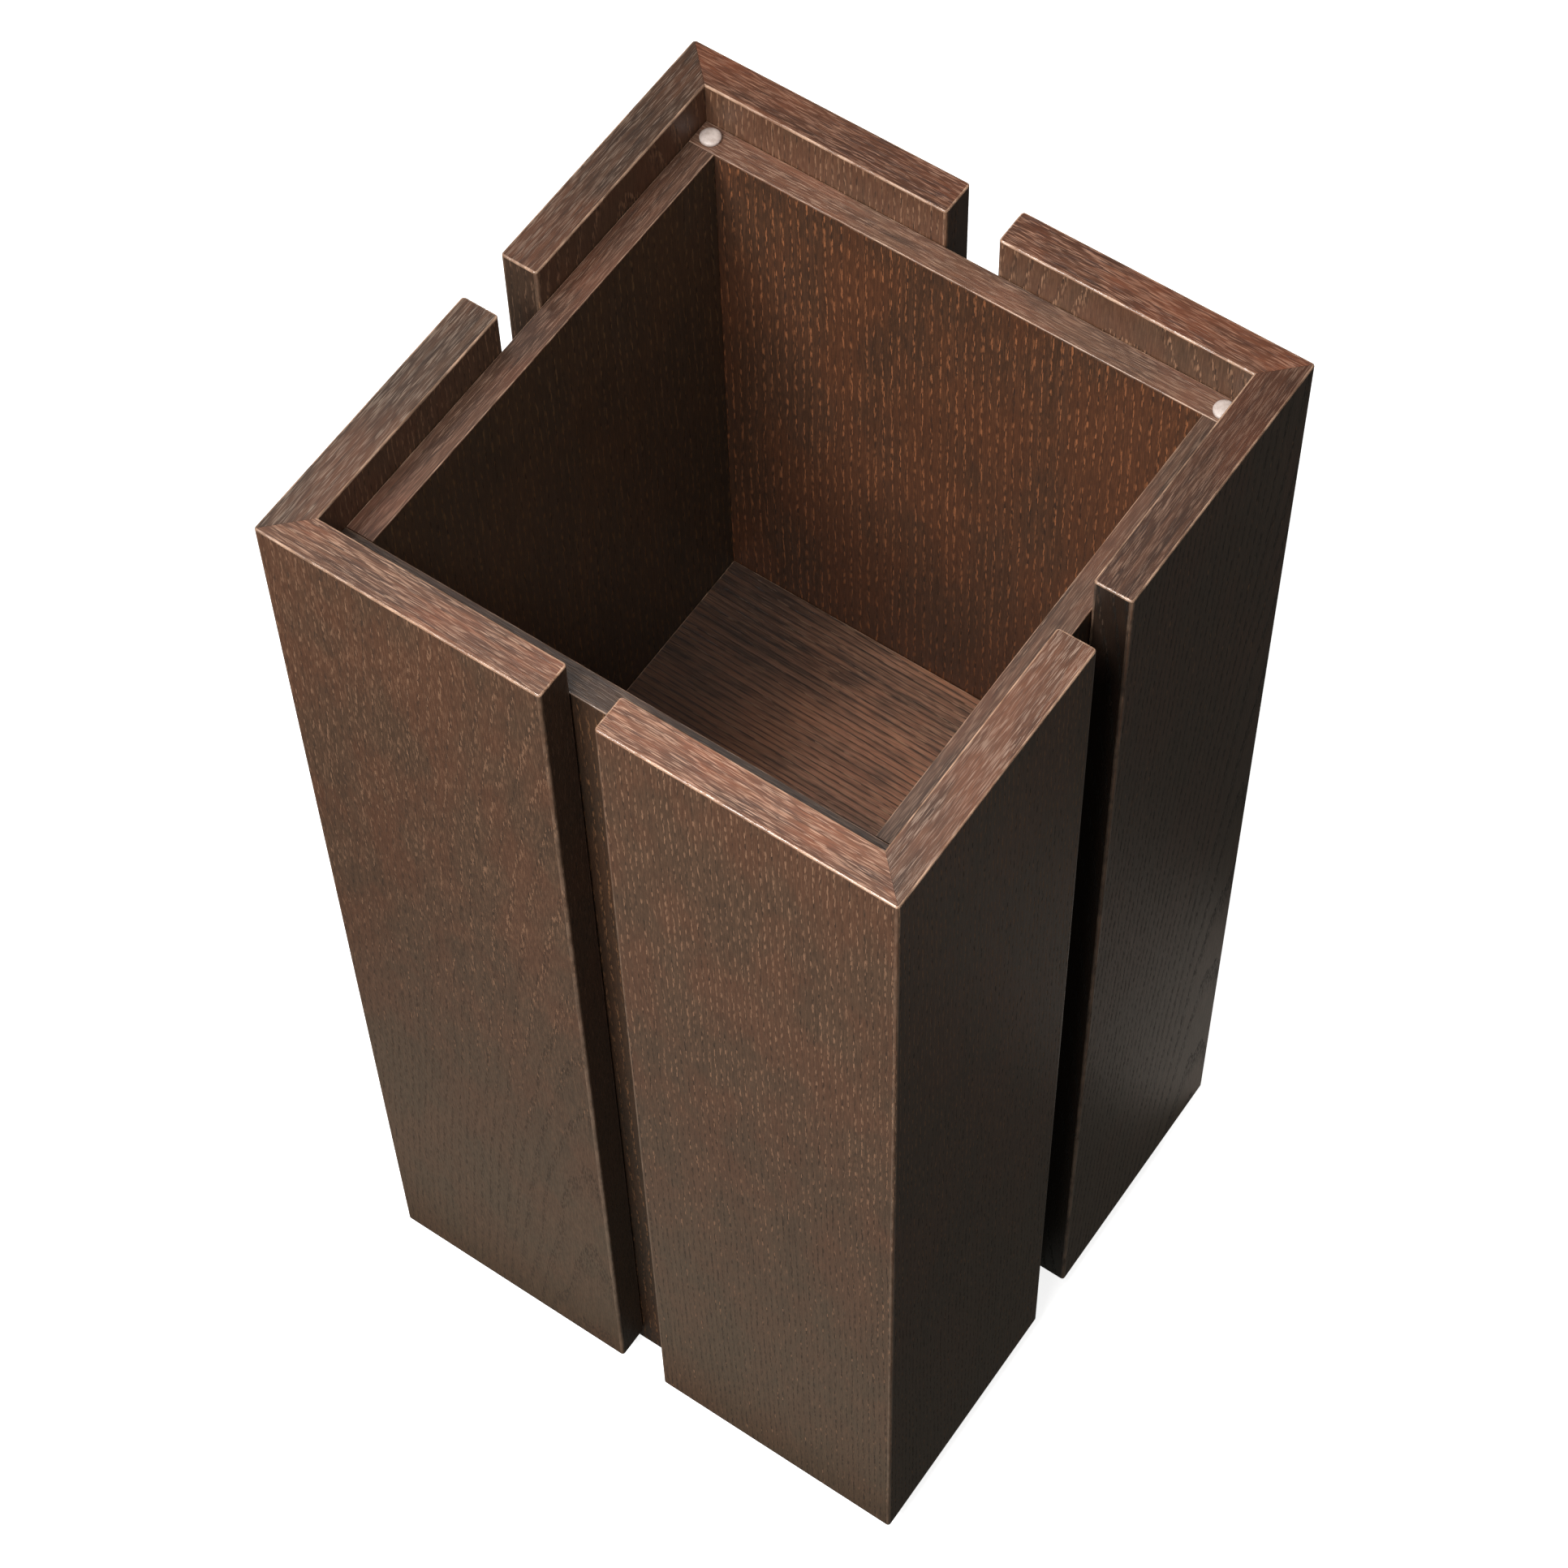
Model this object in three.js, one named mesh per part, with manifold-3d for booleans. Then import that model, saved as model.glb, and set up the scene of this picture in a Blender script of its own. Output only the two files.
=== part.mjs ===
// Umbrella stand in dark oak veneer. A square inner box, open at the top, stands on four glides.
// Four L-shaped corner posts, each of two mitred boards, are glued round it. They rise above its rim,
// stop short of the floor, and leave a slit in the middle of every side.
//
// Units are millimetres and +Z is up. The origin is the centre of the footprint, on the floor.
// The front is -Y and the right is +X.

import * as THREE from 'three';
import { mergeVertices } from 'three/addons/utils/BufferGeometryUtils.js';
import Module from 'manifold-3d';

const wasm = await Module();
wasm.setup();

// ---------------------------------------------------------------- driving dimensions

const WIDTH = 300; // left to right, over the posts
const DEPTH = 296; // front to back, over the posts
const HEIGHT = 650; // floor to the top of the posts

const BOARD = 18; // thickness of a post board
const SLIT = 25; // slit between two posts
const POST_BOTTOM = 15; // the posts stop this far above the floor

const WALL = 13; // thickness of a wall of the inner box
const RIM_DROP = 22; // the rim of the inner box lies this far below the post tops
const GLIDE_HEIGHT = 2; // the walls stand on glides this thick
const LIPPING = 1; // thickness of the strips that cover the top edges
const GLUE = 0.3; // glue line between two wooden pieces
const ARRIS = 1.6; // radius of the upright edges of the posts
const EASING = 0.8; // rounding of their top and bottom edges
const ARRIS_STEPS = 4;
const EASING_STEPS = 2;

const FLOOR_TOP = 326; // top of the floor panel, where the umbrella tips rest
const FLOOR_THICKNESS = 13;
const CLEAT = 15; // side of the square battens under the floor panel

const DOWEL_RADIUS = 3;
const DOWEL_LENGTH = 30;
const DOWEL_IN_FACE = 9; // how far a dowel goes into the front or back wall
const DOWEL_HEIGHTS = [80, 320, 560];
const DOWEL_SIDES = 12;

const SCREW_LENGTH = 23;
const SCREW_RADIUS = 1.75;
const SCREW_HEAD_RADIUS = 3.5;
const SCREW_HEAD_DEPTH = 2.2;
const SCREW_HEAD_EDGE = 0.3; // upright edge of the head, above its cone
const SCREW_TIP = 4;
const SCREW_OFFSET = 70; // distance of a screw from the middle of its cleat
const SCREW_SIDES = 16;

const PAD_RADIUS = 4.75;
const PAD_HEIGHT = 2.4;
const PAD_EDGE_HEIGHT = 0.9; // the dome starts here
const PAD_CHAMFER = 0.2;
const PAD_INSET = 7; // pad centre to the inner faces of the posts
const PAD_INSET_FRONT = 5.1; // the same for the front pads, measured to the front posts
const PAD_SIDES = 32;
const PAD_RINGS = 6;

const GLIDE_RADIUS = 6;
const GLIDE_PIN_RADIUS = 1;
const GLIDE_PIN_LENGTH = 9;
const GLIDE_PIN_TIP = 2;
const GLIDE_CHAMFER = 0.5;
const GLIDE_SIDES = 32;

// ---------------------------------------------------------------- worked-out dimensions

const HALF_WIDTH = WIDTH / 2;
const HALF_DEPTH = DEPTH / 2;
const RIM_TOP = HEIGHT - RIM_DROP;
const WALL_TOP = RIM_TOP - LIPPING - GLUE;
const BOX_HALF_WIDTH = HALF_WIDTH - BOARD - GLUE; // outer faces of the left and right walls
const BOX_HALF_DEPTH = HALF_DEPTH - BOARD - GLUE; // outer faces of the front and back walls
const WELL_HALF_WIDTH = BOX_HALF_WIDTH - WALL; // inner faces of the walls
const WELL_HALF_DEPTH = BOX_HALF_DEPTH - WALL;
const FLOOR_BOTTOM = FLOOR_TOP - FLOOR_THICKNESS;
const CLEAT_TOP = FLOOR_BOTTOM - GLUE;

// ---------------------------------------------------------------- materials

const OAK = { color: 0x5f4a3c, roughness: 0.55, metalness: 0 };
const OAK_EDGE = { color: 0x6e5041, roughness: 0.5, metalness: 0 };
const BEECH = { color: 0xc9a77c, roughness: 0.7, metalness: 0 };
const PINE = { color: 0xb9935f, roughness: 0.75, metalness: 0 };
const ZINC = { color: 0xc4b88a, roughness: 0.35, metalness: 1 };
const PALE_RUBBER = { color: 0xdcd0c6, roughness: 0.5, metalness: 0 };
const BLACK_NYLON = { color: 0x1d1c1b, roughness: 0.6, metalness: 0 };

const stand = new THREE.Group();

function addPiece(name, geometry, finish) {
  const mesh = new THREE.Mesh(geometry, new THREE.MeshStandardMaterial(finish));
  mesh.name = name;
  stand.add(mesh);
  return mesh;
}

// ---------------------------------------------------------------- solids and cuts

// A block between two opposite corners.
function block(low, high) {
  const size = high.map((value, axis) => value - low[axis]);
  const middle = high.map((value, axis) => (value + low[axis]) / 2);
  return new THREE.BoxGeometry(...size).translate(...middle);
}

// An upright prism over a plan outline.
function prism(outline, bottom, top) {
  const shape = new THREE.Shape(outline);
  const options = { depth: top - bottom, bevelEnabled: false };
  return new THREE.ExtrudeGeometry(shape, options).translate(0, 0, bottom);
}

// A turned solid about +Z, from [radius, height] pairs that start and end on the axis.
function turned(profile, sides) {
  const points = profile.map(([radius, height]) => new THREE.Vector2(radius, height));
  return new THREE.LatheGeometry(points, sides).rotateX(Math.PI / 2);
}

function toSolid(geometry) {
  const plain = geometry.clone();
  plain.deleteAttribute('normal');
  plain.deleteAttribute('uv');
  const merged = mergeVertices(plain, 1e-4);
  return new wasm.Manifold(new wasm.Mesh({
    numProp: 3,
    vertProperties: new Float32Array(merged.attributes.position.array),
    triVerts: new Uint32Array(merged.index.array),
  }));
}

function toGeometry(solid) {
  const mesh = solid.getMesh();
  const geometry = new THREE.BufferGeometry();
  geometry.setAttribute('position', new THREE.BufferAttribute(mesh.vertProperties, 3));
  geometry.setIndex(new THREE.BufferAttribute(mesh.triVerts, 1));
  const faceted = geometry.toNonIndexed();
  faceted.computeVertexNormals();
  return faceted;
}

// Takes the cutters out of a piece.
function cut(geometry, cutters) {
  let solid = toSolid(geometry);
  for (const cutter of cutters) {
    solid = solid.subtract(toSolid(cutter));
  }
  return toGeometry(solid);
}

// ---------------------------------------------------------------- the four corners

const CORNERS = [
  { name: 'front_left', x: -1, y: -1 },
  { name: 'front_right', x: 1, y: -1 },
  { name: 'back_right', x: 1, y: 1 },
  { name: 'back_left', x: -1, y: 1 },
];

// ---------------------------------------------------------------- dowels at the box corners

// The dowel axis runs along Y, from the front or back wall into the end of a side wall.
function dowelGeometry(radius, nearEnd, farEnd, corner, height) {
  const middle = corner.y * (nearEnd + farEnd) / 2;
  return new THREE.CylinderGeometry(radius, radius, farEnd - nearEnd, DOWEL_SIDES)
    .translate(corner.x * (BOX_HALF_WIDTH - WALL / 2), middle, height);
}

const DOWEL_FAR_END = WELL_HALF_DEPTH + DOWEL_IN_FACE;
const DOWEL_NEAR_END = DOWEL_FAR_END - DOWEL_LENGTH;

function dowelHole(corner, height) {
  const radius = DOWEL_RADIUS + GLUE;
  return dowelGeometry(radius, DOWEL_NEAR_END - GLUE, DOWEL_FAR_END + GLUE, corner, height);
}

const dowelHoles = CORNERS.flatMap((corner) => DOWEL_HEIGHTS.map((height) => dowelHole(corner, height)));

for (const corner of CORNERS) {
  DOWEL_HEIGHTS.forEach((height, index) => {
    const geometry = dowelGeometry(DOWEL_RADIUS, DOWEL_NEAR_END, DOWEL_FAR_END, corner, height);
    addPiece(`dowel_${corner.name}_${index + 1}`, geometry, BEECH);
  });
}

// ---------------------------------------------------------------- screws that hold the cleats

// The four sides of the box. A side's normal points outwards, and its cleat runs along the side.
const SIDES = [
  { name: 'front', turn: 0, wellHalf: WELL_HALF_DEPTH },
  { name: 'right', turn: Math.PI / 2, wellHalf: WELL_HALF_WIDTH },
  { name: 'back', turn: Math.PI, wellHalf: WELL_HALF_DEPTH },
  { name: 'left', turn: -Math.PI / 2, wellHalf: WELL_HALF_WIDTH },
];

// A countersunk screw, or with a margin its hole. Its head is flush with the inner face of the cleat.
function screwGeometry(side, offset, margin) {
  const profile = [
    [0, -margin],
    [SCREW_HEAD_RADIUS + margin, -margin],
    [SCREW_HEAD_RADIUS + margin, SCREW_HEAD_EDGE],
    [SCREW_RADIUS + margin, SCREW_HEAD_DEPTH + SCREW_HEAD_EDGE],
    [SCREW_RADIUS + margin, SCREW_LENGTH - SCREW_TIP],
    [0, SCREW_LENGTH + margin],
  ];
  const headPlane = side.wellHalf - GLUE - CLEAT;
  return turned(profile, SCREW_SIDES)
    .rotateX(Math.PI / 2)
    .translate(offset, -headPlane, CLEAT_TOP - CLEAT / 2)
    .rotateZ(side.turn);
}

const screws = SIDES.flatMap((side) => [
  { name: `cleat_screw_${side.name}_1`, side, offset: -SCREW_OFFSET },
  { name: `cleat_screw_${side.name}_2`, side, offset: SCREW_OFFSET },
]);

for (const screw of screws) {
  addPiece(screw.name, screwGeometry(screw.side, screw.offset, 0), ZINC);
}

const screwHoles = screws.map((screw) => screwGeometry(screw.side, screw.offset, GLUE));

// ---------------------------------------------------------------- glides under the box corners

const GLIDE_X = BOX_HALF_WIDTH - WALL / 2;
const GLIDE_Y = BOX_HALF_DEPTH - WALL / 2;

function glideGeometry(corner, margin) {
  const pinTop = GLIDE_HEIGHT + GLIDE_PIN_LENGTH;
  const profile = [
    [0, 0],
    [GLIDE_RADIUS - GLIDE_CHAMFER, 0],
    [GLIDE_RADIUS, GLIDE_CHAMFER],
    [GLIDE_RADIUS, GLIDE_HEIGHT],
    [GLIDE_PIN_RADIUS + margin, GLIDE_HEIGHT],
    [GLIDE_PIN_RADIUS + margin, pinTop - GLIDE_PIN_TIP],
    [0, pinTop + margin],
  ];
  return turned(profile, GLIDE_SIDES).translate(corner.x * GLIDE_X, corner.y * GLIDE_Y, 0);
}

for (const corner of CORNERS) {
  addPiece(`glide_${corner.name}`, glideGeometry(corner, 0), BLACK_NYLON);
}

const glideHoles = CORNERS.map((corner) => glideGeometry(corner, GLUE));

// ---------------------------------------------------------------- inner box

// The front and back walls run the full width. The side walls butt between them.
const sideWallHalf = WELL_HALF_DEPTH - GLUE;

function wallGeometry(name, bottom, top) {
  const blocks = {
    front: () => block(
      [-BOX_HALF_WIDTH, -BOX_HALF_DEPTH, bottom],
      [BOX_HALF_WIDTH, -WELL_HALF_DEPTH, top],
    ),
    back: () => block([-BOX_HALF_WIDTH, WELL_HALF_DEPTH, bottom], [BOX_HALF_WIDTH, BOX_HALF_DEPTH, top]),
    left: () => block([-BOX_HALF_WIDTH, -sideWallHalf, bottom], [-WELL_HALF_WIDTH, sideWallHalf, top]),
    right: () => block([WELL_HALF_WIDTH, -sideWallHalf, bottom], [BOX_HALF_WIDTH, sideWallHalf, top]),
  };
  return blocks[name]();
}

for (const side of SIDES) {
  const wall = wallGeometry(side.name, GLIDE_HEIGHT, WALL_TOP);
  addPiece(`wall_${side.name}`, cut(wall, [...dowelHoles, ...screwHoles, ...glideHoles]), OAK);
  addPiece(`rim_lipping_${side.name}`, wallGeometry(side.name, RIM_TOP - LIPPING, RIM_TOP), OAK_EDGE);
}

const floorHalfWidth = WELL_HALF_WIDTH - GLUE;
const floorHalfDepth = WELL_HALF_DEPTH - GLUE;
addPiece(
  'floor_panel',
  block([-floorHalfWidth, -floorHalfDepth, FLOOR_BOTTOM], [floorHalfWidth, floorHalfDepth, FLOOR_TOP]),
  OAK,
);

// Cleats under the floor panel: the front and back ones run full width, the side ones between them.
const cleatHalfWidth = WELL_HALF_WIDTH - GLUE;
const cleatInnerDepth = WELL_HALF_DEPTH - GLUE - CLEAT;

function cleatGeometry(side) {
  const alongX = side.name === 'front' || side.name === 'back';
  const half = alongX ? cleatHalfWidth : cleatInnerDepth - GLUE;
  const outer = side.wellHalf - GLUE;
  return block([-half, -outer, CLEAT_TOP - CLEAT], [half, CLEAT - outer, CLEAT_TOP]).rotateZ(side.turn);
}

for (const side of SIDES) {
  addPiece(`floor_cleat_${side.name}`, cut(cleatGeometry(side), screwHoles), PINE);
}

// ---------------------------------------------------------------- corner posts

// Each post starts as one L-shaped blank with rounded edges. The mitre and the lipping joint cut it
// into two boards and two strips. Plan points are [across, deep]: how far a point lies from the outer
// corner of the post, measured along X and along Y.
const MITRE_SHIFT = GLUE * Math.SQRT1_2; // half the glue line, measured along the board
const FACE_LENGTH = (WIDTH - SLIT) / 2;
const SIDE_LENGTH = (DEPTH - SLIT) / 2;
const INNER_CORNER = [BOARD, BOARD];

const POST_PLAN = [
  [0, 0],
  [FACE_LENGTH, 0],
  [FACE_LENGTH, BOARD],
  INNER_CORNER,
  [BOARD, SIDE_LENGTH],
  [0, SIDE_LENGTH],
];

// Rounds every corner of a right-angled plan but the inner one.
function roundedPlan(plan) {
  return plan.flatMap((point, index) => {
    if (point === INNER_CORNER) {
      return [point];
    }
    const corner = new THREE.Vector2(...point);
    const before = new THREE.Vector2(...plan.at(index - 1)).sub(corner).setLength(ARRIS);
    const after = new THREE.Vector2(...plan[(index + 1) % plan.length]).sub(corner).setLength(ARRIS);
    const centre = corner.clone().add(before).add(after);
    return Array.from({ length: ARRIS_STEPS + 1 }, (_, step) => {
      const angle = (step / ARRIS_STEPS) * (Math.PI / 2);
      const spot = centre.clone()
        .addScaledVector(after, -Math.cos(angle))
        .addScaledVector(before, -Math.sin(angle));
      return spot.toArray();
    });
  });
}

// Sets plan points into a corner of the stand.
function placeInCorner(plan, corner) {
  return plan.map(([across, deep]) => (
    new THREE.Vector2(corner.x * (HALF_WIDTH - across), corner.y * (HALF_DEPTH - deep))
  ));
}

function postBlank(corner) {
  const shape = new THREE.Shape(placeInCorner(roundedPlan(POST_PLAN), corner));
  const rounding = {
    depth: HEIGHT - POST_BOTTOM - 2 * EASING,
    bevelEnabled: true,
    bevelThickness: EASING,
    bevelSize: EASING,
    bevelOffset: -EASING,
    bevelSegments: EASING_STEPS,
  };
  return toSolid(new THREE.ExtrudeGeometry(shape, rounding).translate(0, 0, POST_BOTTOM + EASING));
}

// One side of the mitre, as a large triangle in plan.
function mitreSide(boardName) {
  const far = WIDTH;
  const triangle = [[MITRE_SHIFT - BOARD, -BOARD], [far, -BOARD], [far, far - MITRE_SHIFT]];
  return boardName === 'face' ? triangle : triangle.map(([across, deep]) => [deep, across]);
}

for (const corner of CORNERS) {
  const blank = postBlank(corner);
  for (const boardName of ['face', 'side']) {
    const region = placeInCorner(mitreSide(boardName), corner);
    const boardSpace = toSolid(prism(region, 0, HEIGHT - LIPPING - GLUE));
    const lippingSpace = toSolid(prism(region, HEIGHT - LIPPING, HEIGHT + LIPPING));
    const name = `post_${corner.name}_${boardName}`;
    addPiece(name, toGeometry(blank.intersect(boardSpace)), OAK);
    addPiece(`${name}_lipping`, toGeometry(blank.intersect(lippingSpace)), OAK_EDGE);
  }
}

// ---------------------------------------------------------------- bumper pads on the rim

// A low dome above a short upright edge.
function padProfile() {
  const profile = [[0, 0], [PAD_RADIUS - PAD_CHAMFER, 0], [PAD_RADIUS, PAD_CHAMFER]];
  for (let ring = 0; ring <= PAD_RINGS; ring += 1) {
    const angle = (ring / PAD_RINGS) * (Math.PI / 2);
    const radius = ring === PAD_RINGS ? 0 : PAD_RADIUS * Math.cos(angle);
    profile.push([radius, PAD_EDGE_HEIGHT + (PAD_HEIGHT - PAD_EDGE_HEIGHT) * Math.sin(angle)]);
  }
  return profile;
}

for (const corner of CORNERS) {
  const x = corner.x * (HALF_WIDTH - BOARD - PAD_INSET);
  const inset = corner.y < 0 ? PAD_INSET_FRONT : PAD_INSET;
  const y = corner.y * (HALF_DEPTH - BOARD - inset);
  addPiece(`rim_pad_${corner.name}`, turned(padProfile(), PAD_SIDES).translate(x, y, RIM_TOP), PALE_RUBBER);
}

export default stand;
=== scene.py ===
"""Looks of the oak umbrella stand: the wooden pieces with eased edges, their grain, the small fittings,
a pale studio and the camera. Metres, in the frame of the CAD model: front -Y, right +X, up +Z."""

import math

import bmesh
import bpy
from mathutils import Matrix, Quaternion, Vector


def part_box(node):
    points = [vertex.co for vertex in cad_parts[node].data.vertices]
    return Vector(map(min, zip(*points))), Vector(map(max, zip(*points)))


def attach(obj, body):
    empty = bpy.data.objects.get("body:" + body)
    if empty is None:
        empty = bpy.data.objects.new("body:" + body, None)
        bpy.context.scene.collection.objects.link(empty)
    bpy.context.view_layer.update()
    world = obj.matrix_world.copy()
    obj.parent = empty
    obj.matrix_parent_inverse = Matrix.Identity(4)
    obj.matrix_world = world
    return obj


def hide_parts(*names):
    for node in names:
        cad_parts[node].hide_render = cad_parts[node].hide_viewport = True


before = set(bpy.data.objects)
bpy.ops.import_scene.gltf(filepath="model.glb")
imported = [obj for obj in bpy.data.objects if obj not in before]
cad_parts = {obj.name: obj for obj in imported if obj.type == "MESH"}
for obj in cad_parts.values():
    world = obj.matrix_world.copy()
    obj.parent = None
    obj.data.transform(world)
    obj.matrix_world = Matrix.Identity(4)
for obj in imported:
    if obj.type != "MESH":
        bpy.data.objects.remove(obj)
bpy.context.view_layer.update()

MM = 0.001

# ------------------------------------------------------------------ dimensions of the visible pieces

ARRIS = 1.6 * MM  # rounding of the upright edges of the posts
ARRIS_STEPS = 6
EASING = 0.8 * MM  # rounding of their top and bottom edges
EASING_STEPS = 4
SEAM = 0.1 * MM  # width of a visible glue line
LIP_SEAM = 0.04 * MM  # glue line under a lipping
RIM_EASING = 0.45 * MM
PANEL_EASING = 0.6 * MM
CLEAT_EASING = 0.9 * MM
BLOCK_STEPS = 3  # steps in the rounding of these straight pieces
HOLE_ROOM = 0.2 * MM  # room round a dowel, screw or pin
HOLE_SIDES = 32  # the screws have as many
GLIDE_SIDES = 48
PAD_SIDES = 64
LONG_EDGE = 50 * MM  # only edges longer than this are eased along a piece

# A face narrower than this belongs to a rounded edge.
POST_WORN = 0.7 * MM
BOX_WORN = 0.4 * MM
PANEL_WORN = 0.5 * MM

SHARP_ANGLE = math.radians(35)
PAD_SHARP_ANGLE = math.radians(50)

CORNERS = {
    "front_left": (-1, -1),
    "front_right": (1, -1),
    "back_right": (1, 1),
    "back_left": (-1, 1),
}
SIDES = ("front", "right", "back", "left")


# ------------------------------------------------------------------ mesh helpers

def finish_mesh(mesh_data, name, body="root"):
    """Turns a bmesh into an object that rides on the body, with smooth rounded edges and flat faces."""
    bmesh.ops.recalc_face_normals(mesh_data, faces=mesh_data.faces)
    mesh = bpy.data.meshes.new(name)
    mesh_data.to_mesh(mesh)
    mesh_data.free()
    mesh.shade_smooth()
    piece = bpy.data.objects.new(name, mesh)
    bpy.context.scene.collection.objects.link(piece)
    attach(piece, body)
    return piece


def keep_faces_flat(piece):
    normals = piece.modifiers.new("flat_faces", "WEIGHTED_NORMAL")
    normals.mode = "FACE_AREA"
    normals.weight = 100
    normals.keep_sharp = True


def mark_sharp(mesh_data, angle):
    for edge in mesh_data.edges:
        if len(edge.link_faces) == 2 and edge.calc_face_angle(0) > angle:
            edge.smooth = False


def mark_worn(mesh_data, limit):
    """Gives every narrow face the value 1 in the layer of worn edges: the rounded edges, where stain rubs
    thin and a pale highlight is painted on as well.
    """
    layer = mesh_data.faces.layers.float.new("worn")
    for face in mesh_data.faces:
        shortest = min(edge.calc_length() for edge in face.edges)
        face[layer] = 1.0 if len(face.verts) == 4 and shortest < limit else 0.0


def mark_slit_end(mesh_data, direction, amount):
    """Tells the wood which faces close off a board beside a slit, and how dark they are."""
    layer = mesh_data.faces.layers.float.new("slit_end")
    for face in mesh_data.faces:
        face[layer] = amount if face.normal.dot(direction) > 0.9 else 0.0


def add_ring(mesh_data, points):
    return [mesh_data.verts.new(point) for point in points]


def join_rings(mesh_data, lower, upper):
    count = len(lower)
    for i in range(count):
        j = (i + 1) % count
        mesh_data.faces.new((lower[i], lower[j], upper[j], upper[i]))


def cut_away(mesh_data, point, normal):
    """Removes what lies on the side the normal points to, and closes the cut."""
    geometry = mesh_data.verts[:] + mesh_data.edges[:] + mesh_data.faces[:]
    result = bmesh.ops.bisect_plane(
        mesh_data, geom=geometry, dist=1e-7, plane_co=point, plane_no=normal, clear_outer=True
    )
    edges = [item for item in result["geom_cut"] if isinstance(item, bmesh.types.BMEdge)]
    bmesh.ops.edgeloop_fill(mesh_data, edges=edges)


# ------------------------------------------------------------------ post boards and their lippings

def rounded_corner(corner, before, after, radius, steps):
    """Points round a right-angled corner, from the side towards 'before' to the side towards 'after'."""
    a = (before - corner).normalized() * radius
    b = (after - corner).normalized() * radius
    centre = corner + a + b
    angles = (math.pi / 2 * i / steps for i in range(steps + 1))
    return [centre - b * math.cos(t) - a * math.sin(t) for t in angles]


def post_plan(face_length, side_length, board, inset):
    """Outline of an L-shaped post, as distances from its outer corner, shrunk by the inset."""
    low = Vector((inset, inset))
    face_end = face_length - inset
    side_end = side_length - inset
    inner = board - inset
    corners = [
        low,
        Vector((face_end, inset)),
        Vector((face_end, inner)),
        Vector((inner, inner)),
        Vector((inner, side_end)),
        Vector((inset, side_end)),
    ]
    points = []
    for i, corner in enumerate(corners):
        if i == 3:
            points.append(corner)
            continue
        before = corners[i - 1]
        after = corners[(i + 1) % len(corners)]
        points += rounded_corner(corner, before, after, ARRIS - inset, ARRIS_STEPS)
    return points


def post_blank(corner_name):
    """The whole post with all its edges rounded, before the mitre and the lipping joint cut it."""
    sign_x, sign_y = CORNERS[corner_name]
    face_low, face_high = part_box(f"post_{corner_name}_face")
    side_low, side_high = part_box(f"post_{corner_name}_side")
    lip_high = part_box(f"post_{corner_name}_face_lipping")[1]
    outer_x = max(abs(corner.x) for corner in (face_low, face_high, side_low, side_high))
    outer_y = max(abs(corner.y) for corner in (face_low, face_high, side_low, side_high))
    face_length = outer_x - min(abs(face_low.x), abs(face_high.x))
    side_length = outer_y - min(abs(side_low.y), abs(side_high.y))
    board = face_high.y - face_low.y
    angles = [math.pi / 2 * i / EASING_STEPS for i in range(EASING_STEPS + 1)]
    levels = [(EASING * (1 - math.sin(t)), face_low.z + EASING * (1 - math.cos(t))) for t in angles]
    levels += [(EASING * (1 - math.cos(t)), lip_high.z - EASING * (1 - math.sin(t))) for t in angles]
    blank = bmesh.new()
    rings = []
    for inset, height in levels:
        plan = post_plan(face_length, side_length, board, inset)
        rings.append(add_ring(blank, [
            (sign_x * (outer_x - p.x), sign_y * (outer_y - p.y), height) for p in plan
        ]))
    for lower, upper in zip(rings, rings[1:]):
        join_rings(blank, lower, upper)
    blank.faces.new(rings[0])
    blank.faces.new(rings[-1])
    bmesh.ops.recalc_face_normals(blank, faces=blank.faces)
    return blank, Vector((sign_x * outer_x, sign_y * outer_y, 0))


# One end beside a slit is almost black; the others are darkened by the plain amount.
SLIT_END_DARKNESS = {("back_right", "side"): 1.7}


def make_post_board(corner_name, board_name, part):
    """One board or one lipping: the part of the blank on its side of the mitre and of the lipping joint."""
    sign_x, sign_y = CORNERS[corner_name]
    node = f"post_{corner_name}_{board_name}" + ("_lipping" if part == "lipping" else "")
    piece_data, outer_corner = post_blank(corner_name)
    across = Vector((-sign_x, sign_y, 0)).normalized()  # from the side board to the face board
    away = -across if board_name == "face" else across
    cut_away(piece_data, outer_corner - away * SEAM / 2, away)
    lip_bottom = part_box(f"post_{corner_name}_{board_name}_lipping")[0].z
    if part == "lipping":
        cut_away(piece_data, Vector((0, 0, lip_bottom)), Vector((0, 0, -1)))
    else:
        cut_away(piece_data, Vector((0, 0, lip_bottom - LIP_SEAM)), Vector((0, 0, 1)))
    mark_sharp(piece_data, SHARP_ANGLE)
    mark_worn(piece_data, POST_WORN)
    to_slit = Vector((-sign_x, 0, 0)) if board_name == "face" else Vector((0, -sign_y, 0))
    mark_slit_end(piece_data, to_slit, SLIT_END_DARKNESS.get((corner_name, board_name), 1.0))
    piece = finish_mesh(piece_data, f"oak_{node}")
    keep_faces_flat(piece)
    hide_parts(node)
    return piece


# ------------------------------------------------------------------ straight pieces with eased edges

def eased_block(low, high, radius, wanted):
    """A block with the wanted edges rounded. wanted(a, b) says whether the edge from a to b is."""
    block = bmesh.new()
    bmesh.ops.create_cube(block, size=1)
    for vertex in block.verts:
        for axis in range(3):
            vertex.co[axis] = low[axis] if vertex.co[axis] < 0 else high[axis]
    edges = [edge for edge in block.edges if wanted(edge.verts[0].co, edge.verts[1].co)]
    bmesh.ops.bevel(
        block, geom=edges, offset=radius, offset_type="OFFSET", segments=BLOCK_STEPS, profile=0.5,
        affect="EDGES",
    )
    return block


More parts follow.
